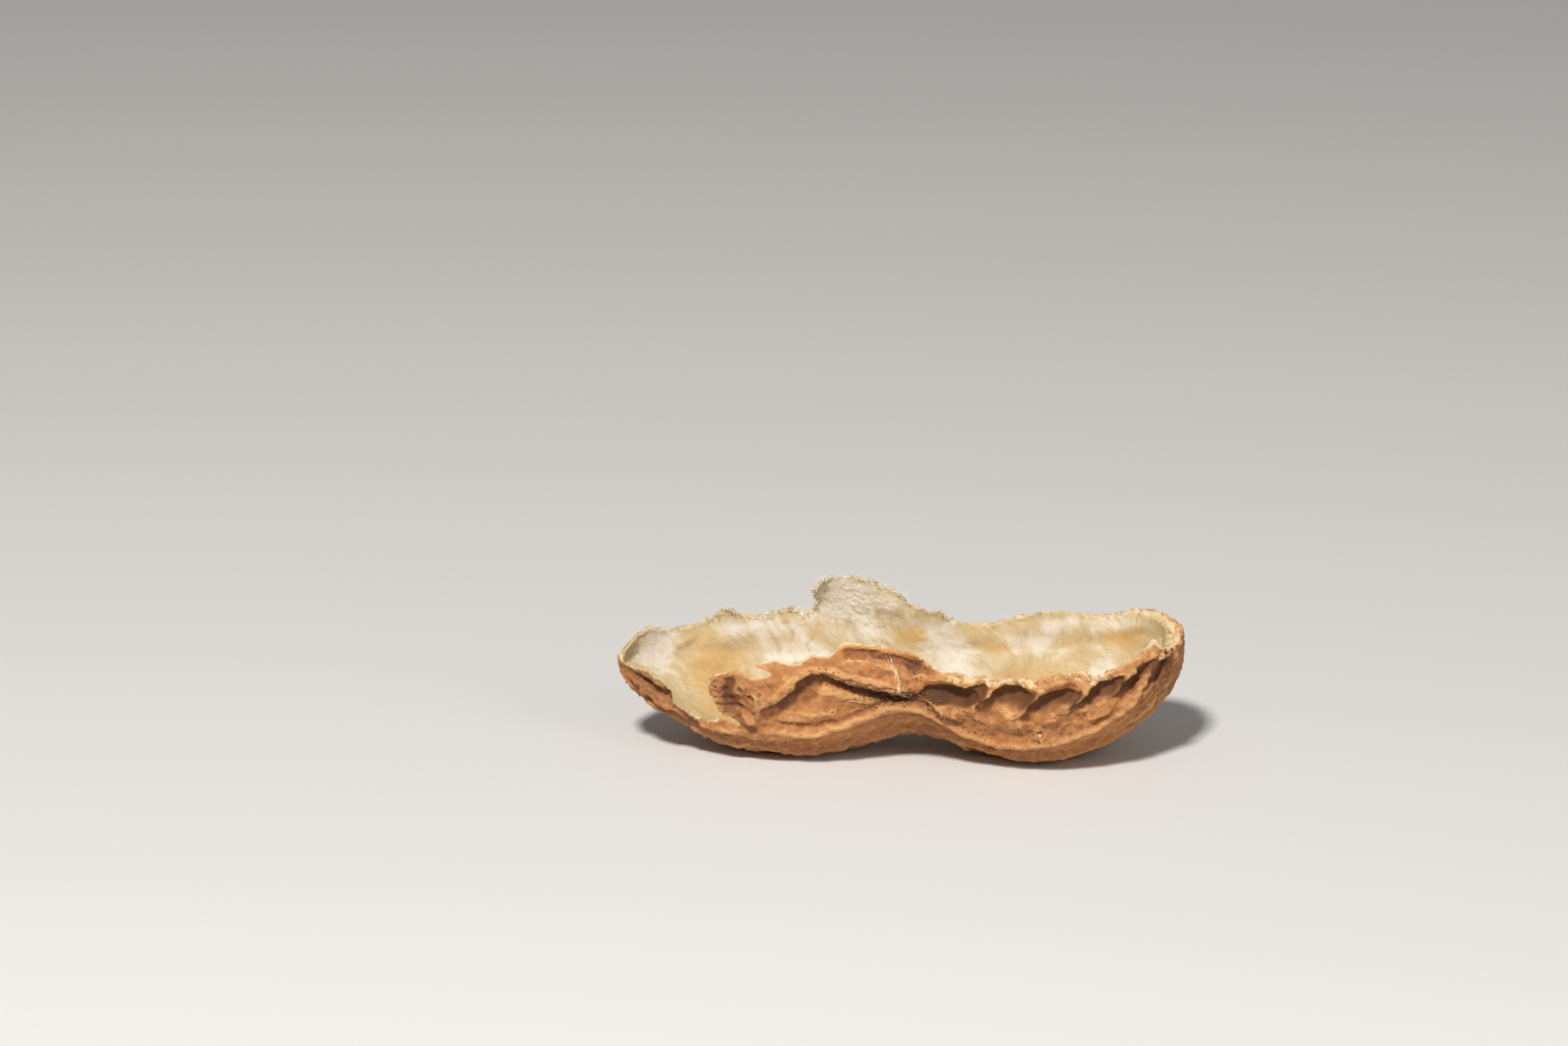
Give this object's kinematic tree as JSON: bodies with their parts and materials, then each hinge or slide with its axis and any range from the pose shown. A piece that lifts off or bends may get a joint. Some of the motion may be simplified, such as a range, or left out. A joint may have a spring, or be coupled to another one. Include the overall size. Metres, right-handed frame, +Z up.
{
  "type": "peanut shell half",
  "caption": "Empty half of a two-lobed peanut shell, torn open along its length, hollow side up, with a ribbed and pitted husk, a low gap in its front wall and a flap on its back wall.",
  "frame": {"origin": "on the surface it rests on, under the middle of its box", "axes": "+X along the pod to its blunt tip, +Y to the high back wall with the flap, +Z up out of the hollow"},
  "size_m": [0.042, 0.0154, 0.012],
  "materials": {
    "husk": "dry, matt, tan husk, papery and paler inside"
  },
  "bodies": {
    "root": {"half_shell": "husk"}
  },
  "joints": []
}
